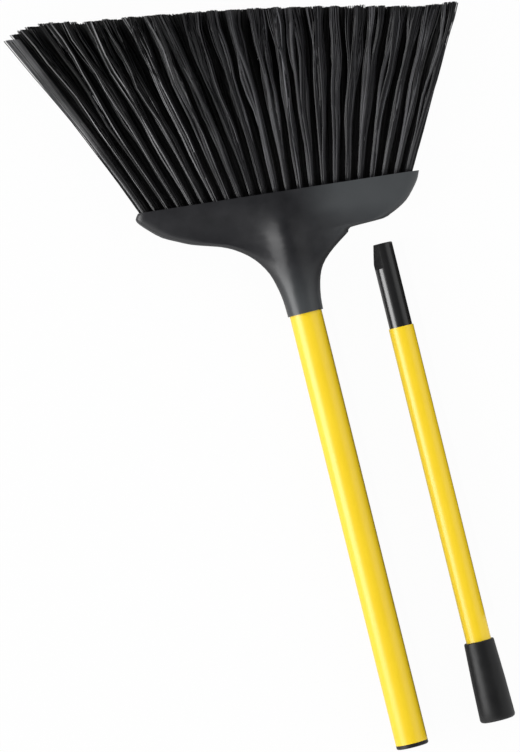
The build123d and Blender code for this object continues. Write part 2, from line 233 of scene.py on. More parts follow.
# %% Grey cards
card_gap = 0.009
card_drop = 0.003
grip_clearance = 0.02
card_paper = bpy.data.materials.new("card_grey_matt")
card_paper.use_nodes = True
card_paper.node_tree.nodes["Principled BSDF"].inputs["Base Color"].default_value = linear("#5C5A55")
card_paper.node_tree.nodes["Principled BSDF"].inputs["Roughness"].default_value = 0.9
card_ends = {
    "lower_tube": (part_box("lower_tube")[0].y, neck_point.y),
    "upper_tube": (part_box("grip")[1].y + grip_clearance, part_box("handle_plug")[1].y),
}
for tube, ends in card_ends.items():
    tube_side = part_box(tube)[1]
    card_x = tube_side.x + card_gap
    card_levels = (table_z, tube_side.z - card_drop)
    card_mesh = bpy.data.meshes.new(tube + "_card")
    card_mesh.from_pydata([(card_x, y, z) for y in ends for z in card_levels], [], [(0, 1, 3, 2)])
    card_mesh.materials.append(card_paper)
    card = bpy.data.objects.new(tube + "_card", card_mesh)
    bpy.context.scene.collection.objects.link(card)
    card.visible_camera = False
    print(card.name, "at x =", round(card_x, 4))

# %% [markdown]
# ## Finishes
# Moulded plastic and painted metal are never one flat colour. Both drift a little in tone and gloss over a
# few centimetres, and both have a fine texture: plastic takes the grain of its mould, and powder coat flows
# out into a shallow orange peel. One function lays these three over a shader, with sizes in millimetres, and
# each finish below calls it with its own. A picture of each surface would do the same, but not at every
# scale.


# %% A new finish, and how it drifts
def new_finish(name):
    """A node material with a Principled shader: the material, its tree and that shader."""
    finish = bpy.data.materials.new(name)
    finish.use_nodes = True
    return finish, finish.node_tree, finish.node_tree.nodes["Principled BSDF"]


def drift(finish_tree, shader, dark, pale, patch_mm, rough, rough_spread, grain_mm, grain_height_mm):
    """Colour and roughness that drift in patches, and a fine grain in the surface, all in real sizes."""
    place = add_node(finish_tree, "ShaderNodeTexCoord").outputs["Object"]
    patches = add_node(finish_tree, "ShaderNodeTexNoise",
                       {"Vector": place, "Scale": 1000 / patch_mm, "Detail": 4.0, "Roughness": 0.6})
    colour = add_node(finish_tree, "ShaderNodeMix",
                      {0: patches.outputs["Fac"], 6: linear(dark), 7: linear(pale)}, data_type="RGBA")
    gloss = add_node(finish_tree, "ShaderNodeMapRange",
                     {"Value": patches.outputs["Fac"], "From Min": 0.3, "From Max": 0.7,
                      "To Min": rough - rough_spread, "To Max": rough + rough_spread})
    grain = add_node(finish_tree, "ShaderNodeTexNoise",
                     {"Vector": place, "Scale": 1000 / grain_mm, "Detail": 2.0})
    bump = add_node(finish_tree, "ShaderNodeBump",
                    {"Height": grain.outputs["Fac"], "Distance": grain_height_mm / 1000, "Strength": 1.0})
    finish_tree.links.new(colour.outputs[2], shader.inputs["Base Color"])
    finish_tree.links.new(gloss.outputs[0], shader.inputs["Roughness"])
    finish_tree.links.new(bump.outputs[0], shader.inputs["Normal"])


# %% Finishes of the handle
# Powder coat on metal tube: a saturated yellow under a clear gloss, so its lit side goes pale
yellow_paint, tree, shader = new_finish("powder_coat_yellow_gloss")
drift(tree, shader, "#F2CC1C", "#F9D728", patch_mm=60, rough=0.36, rough_spread=0.04,
      grain_mm=4.0, grain_height_mm=0.004)
shader.inputs["Coat Weight"].default_value = 0.4
shader.inputs["Coat Roughness"].default_value = 0.26

# ABS from a polished mould: nearly black, with one sharp bright band where the lamp is
black_plug, tree, shader = new_finish("abs_black_gloss")
drift(tree, shader, "#0B0B0C", "#121213", patch_mm=25, rough=0.3, rough_spread=0.03,
      grain_mm=1.2, grain_height_mm=0.004)
shader.inputs["Coat Weight"].default_value = 1.0
shader.inputs["Coat Roughness"].default_value = 0.2

# Soft dipped vinyl: a deep black with a rubbery sheen and no clear reflection
black_grip, tree, shader = new_finish("soft_vinyl_black_satin")
drift(tree, shader, "#131314", "#1B1B1C", patch_mm=20, rough=0.42, rough_spread=0.05,
      grain_mm=0.8, grain_height_mm=0.02)
shader.inputs["Specular IOR Level"].default_value = 0.38

# Zinc plated steel: a pale cool grey with a dull shine
zinc_steel, tree, shader = new_finish("steel_zinc_plated")
drift(tree, shader, "#B9BABC", "#D2D3D4", patch_mm=4, rough=0.36, rough_spread=0.06,
      grain_mm=0.5, grain_height_mm=0.005)
shader.inputs["Metallic"].default_value = 1.0
print(yellow_paint.name, black_plug.name, black_grip.name, zinc_steel.name)

# %% Finishes of the head
# Polypropylene as sawn and drilled: dull, and darker than the cowl
black_board, tree, shader = new_finish("polypropylene_black_rough")
drift(tree, shader, "#070708", "#0C0C0D", patch_mm=15, rough=0.7, rough_spread=0.05,
      grain_mm=0.8, grain_height_mm=0.02)

# Polypropylene from a grained mould: a soft satin grey-black that shows broad, dull highlights. The neck
# and the right wing are painted paler, which is painted light, and the rims are painted darker, which is
# painted shade
wing_start = 0.01
wing_end = 0.06
wing_painted_light = 0.75
neck_length = 0.055
neck_painted_light_and_polish = 0.7
neck_polish = 0.2
rim_level = 0.008
face_level = 0.015
rim_painted_shade = 0.1
rim_roughness = 1.7
rim_grain_end = 0.7
black_cowl, tree, shader = new_finish("polypropylene_black_satin")
drift(tree, shader, "#0D0E10", "#2B2B2E", patch_mm=22, rough=0.36, rough_spread=0.04,
      grain_mm=0.9, grain_height_mm=0.012)
cowl_place = add_node(tree, "ShaderNodeTexCoord").outputs["Object"]
cowl_parts = add_node(tree, "ShaderNodeSeparateXYZ", {0: cowl_place}).outputs
# Painted light: the right wing is painted paler than the left
on_wing = add_node(tree, "ShaderNodeMapRange",
                   {"Value": cowl_parts["X"], "From Min": wing_start, "From Max": wing_end,
                    "To Min": 0.0, "To Max": wing_painted_light}, interpolation_type="SMOOTHSTEP").outputs[0]
# Painted light on the neck, which is also made glossier further down
on_neck = add_node(tree, "ShaderNodeMapRange",
                   {"Value": cowl_parts["Y"], "From Min": neck_point.y,
                    "From Max": neck_point.y + neck_length, "To Min": neck_painted_light_and_polish, "To Max": 0.0},
                   interpolation_type="SMOOTHSTEP").outputs[0]
painted_light_share = add_node(tree, "ShaderNodeMath", {0: on_wing, 1: on_neck}, operation="MAXIMUM").outputs[0]
# Painted shade: the rims, where the cowl is thin, keep little of the paler colour
level = add_node(tree, "ShaderNodeMath", {0: cowl_parts["Z"]}, operation="ABSOLUTE").outputs[0]
on_face = add_node(tree, "ShaderNodeMapRange",
                   {"Value": level, "From Min": rim_level, "From Max": face_level,
                    "To Min": rim_painted_shade, "To Max": 1.0}, interpolation_type="SMOOTHSTEP").outputs[0]
on_face = add_node(tree, "ShaderNodeMath", {0: on_face, 1: on_neck}, operation="MAXIMUM").outputs[0]
painted_light_share = add_node(tree, "ShaderNodeMath", {0: painted_light_share, 1: on_face}, operation="MULTIPLY").outputs[0]
plain_colour = shader.inputs["Base Color"].links[0].from_socket
# The paler grey mixed in here is painted light, held back at the rims as painted shade
cowl_colour = add_node(tree, "ShaderNodeMix", {0: painted_light_share, 6: plain_colour, 7: linear("#494C4E")},
                       data_type="RGBA")
tree.links.new(cowl_colour.outputs[2], shader.inputs["Base Color"])
rougher = add_node(tree, "ShaderNodeMath", {0: on_neck, 1: -neck_polish, 2: 1.0},
                   operation="MULTIPLY_ADD").outputs[0]
grained = add_node(tree, "ShaderNodeMapRange",
                   {"Value": on_face, "From Min": rim_painted_shade, "From Max": rim_grain_end,
                    "To Min": rim_roughness, "To Max": 1.0}).outputs[0]
rougher = add_node(tree, "ShaderNodeMath", {0: rougher, 1: grained}, operation="MULTIPLY").outputs[0]
plain_gloss = shader.inputs["Roughness"].links[0].from_socket
cowl_gloss = add_node(tree, "ShaderNodeMath", {0: plain_gloss, 1: rougher}, operation="MULTIPLY")
tree.links.new(cowl_gloss.outputs[0], shader.inputs["Roughness"])
shader.inputs["Specular IOR Level"].default_value = 0.45
print(black_board.name, black_cowl.name)

# %% Finishes on the solid model's own surfaces
finish_of = {
    "tuft_board": black_board, "board_screws": zinc_steel, "tuft_anchors": zinc_steel,
    "neck_screw": zinc_steel, "lower_tube": yellow_paint, "upper_tube": yellow_paint,
    "socket_bushing": black_grip, "tube_core": black_board, "handle_plug": black_plug,
}
for name, finish in finish_of.items():
    nodes[name].data.materials.clear()
    nodes[name].data.materials.append(finish)
print("finished:", ", ".join(finish_of))

# %% [markdown]
# ## Cowl and grip
# The moulded cowl and the grip are smooth all over, while their solids are made of many narrow strips, which
# show as faint bands in a glossy finish. A solid's mesh is loose triangles, so a copy of it is joined at the
# seams and shaded smooth, apart from its real edges. More triangles would not help: the shape is right as
# it is.

# %% Smooth skins
edge_angle = math.radians(40)
seam_gap = 1e-5
ease_rounds = 4


def ease_normals(mesh):
    """Average the normals of neighbouring points, away from the edges, so that the strips don't show."""
    on_edge = {point for edge in mesh.edges if edge.use_edge_sharp for point in edge.vertices}
    near = [[] for _ in mesh.vertices]
    for edge in mesh.edges:
        start, end = edge.vertices
        near[start].append(end)
        near[end].append(start)
    normals = [vertex.normal.copy() for vertex in mesh.vertices]
    for _ in range(ease_rounds):
        eased = []
        for point, normal in enumerate(normals):
            around = [normals[other] for other in near[point] if other not in on_edge]
            eased.append(normal if point in on_edge else sum(around, normal).normalized())
        normals = eased
    corners = [corner.vector.copy() for corner in mesh.corner_normals]
    for loop in mesh.loops:
        if loop.vertex_index not in on_edge:
            corners[loop.index] = normals[loop.vertex_index]
    mesh.normals_split_custom_set(corners)


def smooth_skin(name, node, body, finish):
    """A copy of a node with its triangles joined, shaded smooth apart from its sharp edges."""
    joined = bmesh.new()
    joined.from_mesh(nodes[node].data)
    bmesh.ops.remove_doubles(joined, verts=joined.verts, dist=seam_gap)
    mesh = bpy.data.meshes.new(name)
    joined.to_mesh(mesh)
    joined.free()
    if "custom_normal" in mesh.attributes:
        mesh.attributes.remove(mesh.attributes["custom_normal"])
    mesh.shade_smooth()
    mesh.set_sharp_from_angle(angle=edge_angle)
    ease_normals(mesh)
    mesh.materials.clear()
    mesh.materials.append(finish)
    skin = bpy.data.objects.new(name, mesh)
    bpy.context.scene.collection.objects.link(skin)
    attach(skin, body)
    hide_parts(node)
    print(name, len(mesh.polygons), "faces,", len(mesh.vertices), "points")


smooth_skin("cowl_skin", "head_cowl", "broom", black_cowl)
smooth_skin("grip_sleeve", "grip", "upper_handle", black_grip)

# %% [markdown]
# ## Bristles
# A tuft is a pinch of straight plastic filaments, folded over a wire anchor in a hole of the board. The tufts
# fan out and are trimmed to one slanted line. Drawing each filament by hand is hopeless, and hair particles
# can't be exported, so one guide line is drawn for each tuft, and a Geometry Nodes tree copies it into a
# bundle of filaments. The guides use the solid model's own sizes, so that the bundles stand where its strands
# do.

# %% Where the tufts stand
head_turn = math.radians(5.1)
head_x = Vector((math.cos(head_turn), -math.sin(head_turn), 0))
head_out = Vector((math.sin(head_turn), math.cos(head_turn), 0))
head_length = 0.1084
tuft_recess = 0.003
face_point = neck_point + Vector((0, head_length - tuft_recess, 0))
row_pitch = 0.0064
tuft_pitch = 0.01046
row_levels = {
    "bristles_rear": -1.5, "bristles_mid_rear": -0.5, "bristles_mid_front": 0.5, "bristles_front": 1.5,
}
row_tufts = {
    "bristles_rear": 22, "bristles_mid_rear": 23, "bristles_mid_front": 22, "bristles_front": 23,
}
print(sum(row_tufts.values()), "tufts in", len(row_tufts), "rows")

# %% [markdown]
# ## The trim
# A finished broom is cut to length in one go, here on a slant and a slightly curved line. The height of that
# line is worked out from the place along the head, with a rounded left corner and both ends left a little
# longer. Cutting the finished bundles with a knife shape would do it too, but far more slowly.

# %% The trim
bristle_length = 0.1621
trim_angle = math.radians(6)
trim_radius = 2.08
corner_start = 0.178
corner_radius = 0.042
left_uncut = 0.0028
left_uncut_from = 0.152
left_uncut_ramp = 0.012
right_uncut = 0.16
right_uncut_from = 0.148


def tip_height(x):
    """Height of the trimmed tips above the edge of the cowl: both ends are left a little longer."""
    corner = max(0, -x - corner_start)
    trim = x * math.tan(trim_angle) + x ** 2 / (2 * trim_radius) + corner ** 2 / (2 * corner_radius)
    left = left_uncut * min(1, max(0, (-x - left_uncut_from) / left_uncut_ramp))
    right = right_uncut * max(0, x - right_uncut_from)
    return bristle_length - trim + left + right


print("bristles", [round(1000 * tip_height(x / 1000)) for x in (-200, -100, 0, 100, 170)], "mm high")

# %% [markdown]
# ## Guides
# No tuft is quite straight: it sways, and wanders off its place by a millimetre or two. The guides take this
# from a random source with a fixed seed, so that they come out the same each time. At the left end they are
# bowed and drawn in, and the inner rows are drawn in at both ends, where the outer rows hide them.

# %% Guides, one for each tuft
fan_depth = 0.228
fan_shift = 0.0172
fan_end = 0.115
end_power = 3
splay = 3.88
guide_points = 12
trim_rounds = 8
stray = 0.0022
lift_share = 0.4
stray_power = 1.6
swing = 0.002
swing_turn = 5
left_bow = 0.0026
left_draw_in = 0.0062
inner_draw_in = 0.003


def guide(x, z, extra_draw_in, chance):
    """Points along one tuft, from its root to the trim, with a little drift of its own."""
    lean = (x - fan_shift) / fan_depth
    side = chance.gauss(0, 1) * stray
    wave = chance.gauss(0, 1) * swing
    phase = chance.uniform(0, 2 * math.pi)
    lift = chance.gauss(0, 1) * stray * lift_share
    left_end = max(0, -x / fan_end) ** end_power
    right_end = max(0, x / fan_end) ** end_power
    side *= 1 - left_end
    draw_in = left_end * (left_draw_in + extra_draw_in) - right_end * extra_draw_in
    rise = bristle_length
    for _ in range(trim_rounds):
        rise = tip_height(x + lean * (rise + tuft_recess) + side + draw_in)
    rise += tuft_recess
    points = []
    for step in range(guide_points):
        part = step / (guide_points - 1)
        bow = draw_in * part + left_end * 4 * left_bow * part * (1 - part)
        sway = side * part ** stray_power + wave * part * math.sin(phase + swing_turn * part) + bow
        up = z * (1 + splay * rise * part) + lift * part ** stray_power
        points.append(face_point + head_x * (x + lean * rise * part + sway) + head_out * rise * part
                      + Vector((0, 0, up)))
    return points


guides = {}
for row, row_level in row_levels.items():
    chance = random.Random(row)
    left_most = -(row_tufts[row] - 1) / 2
    extra_draw_in = inner_draw_in if "mid" in row else 0
    lines = [guide((left_most + step) * tuft_pitch, row_level * row_pitch, extra_draw_in, chance)
             for step in range(row_tufts[row])]
    points = [point for line in lines for point in line]
    edges = [(n, n + 1) for n in range(len(points) - 1) if (n + 1) % guide_points]
    guide_mesh = bpy.data.meshes.new(row + "_guides")
    guide_mesh.from_pydata(points, edges, [])
    shares = [n % guide_points / (guide_points - 1) for n in range(len(points))]
    guide_mesh.attributes.new("along", "FLOAT", "POINT").data.foreach_set("value", shares)
    tuft_numbers = [n // guide_points for n in range(len(points))]
    guide_mesh.attributes.new("tuft", "FLOAT", "POINT").data.foreach_set("value", tuft_numbers)
    guides[row] = bpy.data.objects.new(row + "_filaments", guide_mesh)
    bpy.context.scene.collection.objects.link(guides[row])
    print(row, len(lines), "guides")

# %% [markdown]
# ## Filament finishes
# The filaments are drawn from black plastic and are smooth along their length. Long pale streaks run along
# the outer side of the locks, thin and bright on the left, broad and grey on the right. They are painted
# highlights: light on very many fine filaments, which the thicker ones here don't show by themselves, so the
# streaks are painted into the finish. The inner rows stay dull and black, so the gaps between the outer tufts
# look deep. The tree below gives every filament a highlight tone of its own, as an attribute.

# %% Black filament, outside and inside
# Extruded polypropylene: black, with grey streaks of painted highlight that run with the filaments and come
# and go. Towards the right the black is painted greyer and the streaks duller, as painted light
streak_mm = 45
faint_streak = 0.35
streaks_from_x = -0.1
streaks_to_x = 0.0
outer_filament, tree, shader = new_finish("polypropylene_filament_black_painted_streaks")
filament_highlight_tone = add_node(tree, "ShaderNodeAttribute", attribute_name="streak_highlight_tone").outputs["Fac"]
filament_place = add_node(tree, "ShaderNodeTexCoord").outputs["Object"]
fading = add_node(tree, "ShaderNodeTexNoise",
                  {"Vector": filament_place, "Scale": 1000 / streak_mm, "Detail": 1.0}).outputs["Fac"]
fading = add_node(tree, "ShaderNodeMapRange",
                  {"Value": fading, "From Min": 0.35, "From Max": 0.65,
                   "To Min": faint_streak, "To Max": 1.0}).outputs[0]
painted_streak_highlight = add_node(tree, "ShaderNodeMath", {0: filament_highlight_tone, 1: fading}, operation="MULTIPLY").outputs[0]
filament_x = add_node(tree, "ShaderNodeSeparateXYZ", {0: filament_place}).outputs["X"]
# Painted light: from left to right across the head, the black goes greyer and the streaks duller
rightward_painted_light = add_node(tree, "ShaderNodeMapRange",
                    {"Value": filament_x, "From Min": streaks_from_x,
                     "From Max": streaks_to_x}).outputs[0]
between = add_node(tree, "ShaderNodeMix", {0: rightward_painted_light, 6: linear("#060607"), 7: linear("#262628")},
                   data_type="RGBA").outputs[2]
streaks = add_node(tree, "ShaderNodeMix", {0: rightward_painted_light, 6: linear("#BEBEC0"), 7: linear("#737377")},
                   data_type="RGBA").outputs[2]
# The painted highlight mixes the streak grey into the black
filament_colour = add_node(tree, "ShaderNodeMix", {0: painted_streak_highlight, 6: between, 7: streaks}, data_type="RGBA")
filament_gloss = add_node(tree, "ShaderNodeMapRange",
                          {"Value": filament_highlight_tone, "To Min": 0.24, "To Max": 0.36})
tree.links.new(filament_colour.outputs[2], shader.inputs["Base Color"])
tree.links.new(filament_gloss.outputs[0], shader.inputs["Roughness"])
shader.inputs["Specular IOR Level"].default_value = 0.3

# The same plastic deep inside, where little light gets: flat black
inner_filament, tree, shader = new_finish("polypropylene_filament_black_dull")
drift(tree, shader, "#0C0C0D", "#161617", patch_mm=10, rough=0.55, rough_spread=0.05,
      grain_mm=0.5, grain_height_mm=0.01)
shader.inputs["Specular IOR Level"].default_value = 0.2
print(outer_filament.name, "and", inner_filament.name)

# %% [markdown]
# ## Growing the tufts
# The tree copies each guide once for every filament, and moves the copies apart: packed like the seeds of a
# sunflower at the root, gathered into a few locks that part and wave towards the tips, and each filament
# astray a little by itself. The copies are then swept with a three-sided profile, which is all that shows of
# so thin a thing. A texture on flat strips would be lighter, but would look flat from the side.

# %% The tree's inputs
# Little of a filament's shift may go along the handle, which takes out most of the head's turn. The slope
# of the trim puts that part back
flat_along = 0.1
sizes = {
    "Filaments": ("NodeSocketInt", 90),
    "Filament radius": ("NodeSocketFloat", 0.00036),
    "Tuft radius": ("NodeSocketFloat", 0.0033),
    "Flare": ("NodeSocketFloat", 0.9),
    "Locks": ("NodeSocketInt", 6),
    "Lock spread": ("NodeSocketFloat", 0.0036),
    "Wander": ("NodeSocketFloat", 0.0011),
    "Flatness": ("NodeSocketVector", Vector((1, flat_along, 0.5))),
    "Waves": ("NodeSocketFloat", 0.012),
    "Wave length": ("NodeSocketFloat", 0.045),
    "Dome": ("NodeSocketFloat", 0.0002),
    "Ragged": ("NodeSocketFloat", 0.0004),
    "Trim slope": ("NodeSocketFloat", math.tan(trim_angle) + (1 - flat_along) * math.sin(head_turn)),
    "Along the head": ("NodeSocketVector", head_x),
    "Out of the head": ("NodeSocketVector", head_out),
    "Seed": ("NodeSocketInt", 5),
    "Tone seed": ("NodeSocketInt", 6),
    "Finish": ("NodeSocketMaterial", outer_filament),
}
grow = bpy.data.node_groups.new("grow_tufts", "GeometryNodeTree")
grow.interface.new_socket("Guides", in_out="INPUT", socket_type="NodeSocketGeometry")
grow.interface.new_socket("Bristles", in_out="OUTPUT", socket_type="NodeSocketGeometry")
for name, (kind, _) in sizes.items():
    grow.interface.new_socket(name, in_out="INPUT", socket_type=kind)
given = add_node(grow, "NodeGroupInput").outputs
curves = add_node(grow, "GeometryNodeMeshToCurve", {"Mesh": given["Guides"]})
copies = add_node(grow, "GeometryNodeDuplicateElements",
                  {"Geometry": curves.outputs[0], "Amount": given["Filaments"]}, domain="SPLINE")
number = copies.outputs["Duplicate Index"]
along = add_node(grow, "GeometryNodeInputNamedAttribute", {"Name": "along"}, data_type="FLOAT").outputs[0]
tuft = add_node(grow, "GeometryNodeInputNamedAttribute", {"Name": "tuft"}, data_type="FLOAT").outputs[0]
print("grow_tufts takes", ", ".join(sizes))

# %% Where a filament stands in its tuft
# Sunflower packing: the n-th filament stands at a radius that goes with the root of n
golden_angle = 2.39996
half_on = add_node(grow, "ShaderNodeMath", {0: number, 1: 0.5}, operation="ADD").outputs[0]
share = add_node(grow, "ShaderNodeMath", {0: half_on, 1: given["Filaments"]}, operation="DIVIDE").outputs[0]
root = add_node(grow, "ShaderNodeMath", {0: share}, operation="SQRT").outputs[0]
flare = add_node(grow, "ShaderNodeMath", {0: along, 1: given["Flare"], 2: 1.0},
                 operation="MULTIPLY_ADD").outputs[0]
radius = add_node(grow, "ShaderNodeMath", {0: root, 1: flare}, operation="MULTIPLY").outputs[0]
radius = add_node(grow, "ShaderNodeMath", {0: radius, 1: given["Tuft radius"]},
                  operation="MULTIPLY").outputs[0]
angle = add_node(grow, "ShaderNodeMath", {0: number, 1: golden_angle, 2: tuft},
                 operation="MULTIPLY_ADD").outputs[0]
spoke = add_node(grow, "ShaderNodeVectorMath", {0: given["Along the head"], "Scale": radius},
                 operation="SCALE").outputs[0]
spoke = add_node(grow, "ShaderNodeVectorRotate",
                 {"Vector": spoke, "Axis": given["Out of the head"], "Angle": angle}).outputs[0]
print("packed at", round(math.degrees(golden_angle), 1), "degrees")

# %% How locks part and wave, and filaments stray
first_hold = 0.7
parting_power = 1.5
wander_power = 2.0

# The first tuft of a row, at the left end, keeps its locks together
is_first = add_node(grow, "ShaderNodeMath", {0: tuft, 1: 0.5}, operation="LESS_THAN").outputs[0]
freedom = add_node(grow, "ShaderNodeMath", {0: is_first, 1: -first_hold, 2: 1.0},
                   operation="MULTIPLY_ADD").outputs[0]

# A lock is one slice of the tuft's circle, and all of it leans the same way towards the tip
turns = add_node(grow, "ShaderNodeMath", {0: number, 1: golden_angle / (2 * math.pi)},
                 operation="MULTIPLY").outputs[0]
turns = add_node(grow, "ShaderNodeMath", {0: turns}, operation="FRACT").outputs[0]
lock = add_node(grow, "ShaderNodeMath", {0: turns, 1: given["Locks"]}, operation="MULTIPLY").outputs[0]
slice_number = add_node(grow, "ShaderNodeMath", {0: lock}, operation="FLOOR").outputs[0]
lock = add_node(grow, "ShaderNodeMath", {0: tuft, 1: given["Locks"], 2: slice_number},
                operation="MULTIPLY_ADD").outputs[0]
lock_lean = add_node(grow, "FunctionNodeRandomValue",
                     {0: (-1, -1, -1), 1: (1, 1, 1), "ID": lock, "Seed": given["Seed"]},
                     data_type="FLOAT_VECTOR").outputs[0]
bend = add_node(grow, "ShaderNodeMath", {0: along, 1: parting_power}, operation="POWER").outputs[0]
bend = add_node(grow, "ShaderNodeMath", {0: bend, 1: given["Lock spread"]}, operation="MULTIPLY").outputs[0]
bend = add_node(grow, "ShaderNodeMath", {0: bend, 1: freedom}, operation="MULTIPLY").outputs[0]
parting = add_node(grow, "ShaderNodeVectorMath", {0: lock_lean, "Scale": bend}, operation="SCALE").outputs[0]

# Each lock waves in a way of its own, read from its own part of a noise
position = add_node(grow, "GeometryNodeInputPosition").outputs[0]
density = add_node(grow, "ShaderNodeMath", {0: 1.0, 1: given["Wave length"]}, operation="DIVIDE").outputs[0]
spot = add_node(grow, "ShaderNodeVectorMath", {0: lock_lean, 1: position}, operation="ADD").outputs[0]
waves = add_node(grow, "ShaderNodeTexNoise",
                 {"Vector": spot, "Scale": density, "Detail": 0.0}).outputs["Color"]
waves = add_node(grow, "ShaderNodeVectorMath", {0: waves, 1: (0.5, 0.5, 0.5)},
                 operation="SUBTRACT").outputs[0]
bend = add_node(grow, "ShaderNodeMath", {0: along, 1: given["Waves"]}, operation="MULTIPLY").outputs[0]
bend = add_node(grow, "ShaderNodeMath", {0: bend, 1: freedom}, operation="MULTIPLY").outputs[0]
waves = add_node(grow, "ShaderNodeVectorMath", {0: waves, "Scale": bend}, operation="SCALE").outputs[0]

# Every filament strays a little by itself
identity = add_node(grow, "ShaderNodeMath", {0: tuft, 1: given["Filaments"], 2: number},
                    operation="MULTIPLY_ADD").outputs[0]
astray = add_node(grow, "FunctionNodeRandomValue",
                  {0: (-1, -1, -1), 1: (1, 1, 1), "ID": identity, "Seed": given["Seed"]},
                  data_type="FLOAT_VECTOR").outputs[0]
bend = add_node(grow, "ShaderNodeMath", {0: along, 1: wander_power}, operation="POWER").outputs[0]
bend = add_node(grow, "ShaderNodeMath", {0: bend, 1: given["Wander"]}, operation="MULTIPLY").outputs[0]
astray = add_node(grow, "ShaderNodeVectorMath", {0: astray, "Scale": bend}, operation="SCALE").outputs[0]
print("locks part, wave and stray with", len(grow.nodes), "nodes so far")

# %% Which way a filament faces, and its tone
lock_middle = 0.6
own_tone_least = 0.4
lock_tone_range = (-0.6, 1.4)
face_weight = 0.9
left_weight = -0.44
thin_streak = 0.84
broad_streak = 0.5
first_pale_from = 0.3
first_pale_to = 0.9
first_root_tone = 0.08
first_tip_tone = 0.6

# A lock's filaments lie so close that it catches the light as one body: this is the way out of its middle
slice_angle = add_node(grow, "ShaderNodeMath", {0: slice_number, 1: 0.5}, operation="ADD").outputs[0]
slice_angle = add_node(grow, "ShaderNodeMath", {0: slice_angle, 1: given["Locks"]},
                       operation="DIVIDE").outputs[0]
slice_angle = add_node(grow, "ShaderNodeMath", {0: slice_angle, 1: 2 * math.pi, 2: tuft},
                       operation="MULTIPLY_ADD").outputs[0]
reach = add_node(grow, "ShaderNodeMath", {0: flare, 1: given["Tuft radius"]}, operation="MULTIPLY").outputs[0]
reach = add_node(grow, "ShaderNodeMath", {0: reach, 1: lock_middle}, operation="MULTIPLY").outputs[0]
centre = add_node(grow, "ShaderNodeVectorMath", {0: given["Along the head"], "Scale": reach},
                  operation="SCALE").outputs[0]
centre = add_node(grow, "ShaderNodeVectorRotate",
                  {"Vector": centre, "Axis": given["Out of the head"], "Angle": slice_angle}).outputs[0]
outward = add_node(grow, "ShaderNodeVectorMath", {0: spoke, 1: centre}, operation="SUBTRACT").outputs[0]
outward = add_node(grow, "ShaderNodeVectorMath", {0: outward}, operation="NORMALIZE").outputs[0]

# Painted highlight: filaments on the outer left of a lock get the pale tone, in some locks more than in
# others
own_tone = add_node(grow, "FunctionNodeRandomValue",
                    {2: own_tone_least, 3: 1.0, "ID": identity, "Seed": given["Tone seed"]},
                    data_type="FLOAT").outputs[1]
lock_tone = add_node(grow, "FunctionNodeRandomValue",
                     {2: lock_tone_range[0], 3: lock_tone_range[1], "ID": lock, "Seed": given["Tone seed"]},
                     data_type="FLOAT").outputs[1]
lock_tone = add_node(grow, "ShaderNodeClamp", {"Value": lock_tone}).outputs[0]
facing = add_node(grow, "ShaderNodeSeparateXYZ", {0: outward}).outputs
lit_side_highlight = add_node(grow, "ShaderNodeMath", {0: facing["Z"]}, operation="ABSOLUTE").outputs[0]
lit_side_highlight = add_node(grow, "ShaderNodeMath", {0: lit_side_highlight, 1: face_weight}, operation="MULTIPLY").outputs[0]
lit_side_highlight = add_node(grow, "ShaderNodeMath", {0: facing["X"], 1: left_weight, 2: lit_side_highlight},
                   operation="MULTIPLY_ADD").outputs[0]
position_x = add_node(grow, "ShaderNodeSeparateXYZ", {0: position}).outputs["X"]
# Painted light: the highlighted side is narrow on the left of the head and broad on the right
narrow = add_node(grow, "ShaderNodeMapRange",
                  {"Value": position_x, "From Min": streaks_from_x, "From Max": streaks_to_x,
                   "To Min": thin_streak, "To Max": broad_streak}).outputs[0]
lit_side_highlight = add_node(grow, "ShaderNodeMapRange",
                   {"Value": lit_side_highlight, "From Min": narrow, "From Max": 1.0}).outputs[0]
streak_highlight_tone = add_node(grow, "ShaderNodeMath", {0: lock_tone, 1: lit_side_highlight}, operation="MULTIPLY").outputs[0]
streak_highlight_tone = add_node(grow, "ShaderNodeMath", {0: streak_highlight_tone, 1: own_tone}, operation="MULTIPLY").outputs[0]

# The first tuft is pale all over towards its tip, as in the picture
near_tip = add_node(grow, "ShaderNodeMapRange",
                    {"Value": along, "From Min": first_pale_from, "From Max": first_pale_to,
                     "To Min": first_root_tone, "To Max": first_tip_tone}).outputs[0]
first_tone = add_node(grow, "ShaderNodeMath", {0: is_first, 1: near_tip}, operation="MULTIPLY").outputs[0]
first_tone = add_node(grow, "ShaderNodeMath", {0: first_tone, 1: own_tone}, operation="MULTIPLY").outputs[0]
streak_highlight_tone = add_node(grow, "ShaderNodeMath", {0: streak_highlight_tone, 1: first_tone}, operation="MAXIMUM").outputs[0]
print("streaks from", streaks_from_x, "to", streaks_to_x, "m across")

# %% How a filament is moved and trimmed
# The tufts are a little flatter than they are wide, as the rows press on each other
shift = add_node(grow, "ShaderNodeVectorMath", {0: spoke, 1: parting}, operation="ADD").outputs[0]
shift = add_node(grow, "ShaderNodeVectorMath", {0: shift, 1: waves}, operation="ADD").outputs[0]
shift = add_node(grow, "ShaderNodeVectorMath", {0: shift, 1: astray}, operation="ADD").outputs[0]
shift = add_node(grow, "ShaderNodeVectorMath", {0: shift, 1: given["Flatness"]},
                 operation="MULTIPLY").outputs[0]

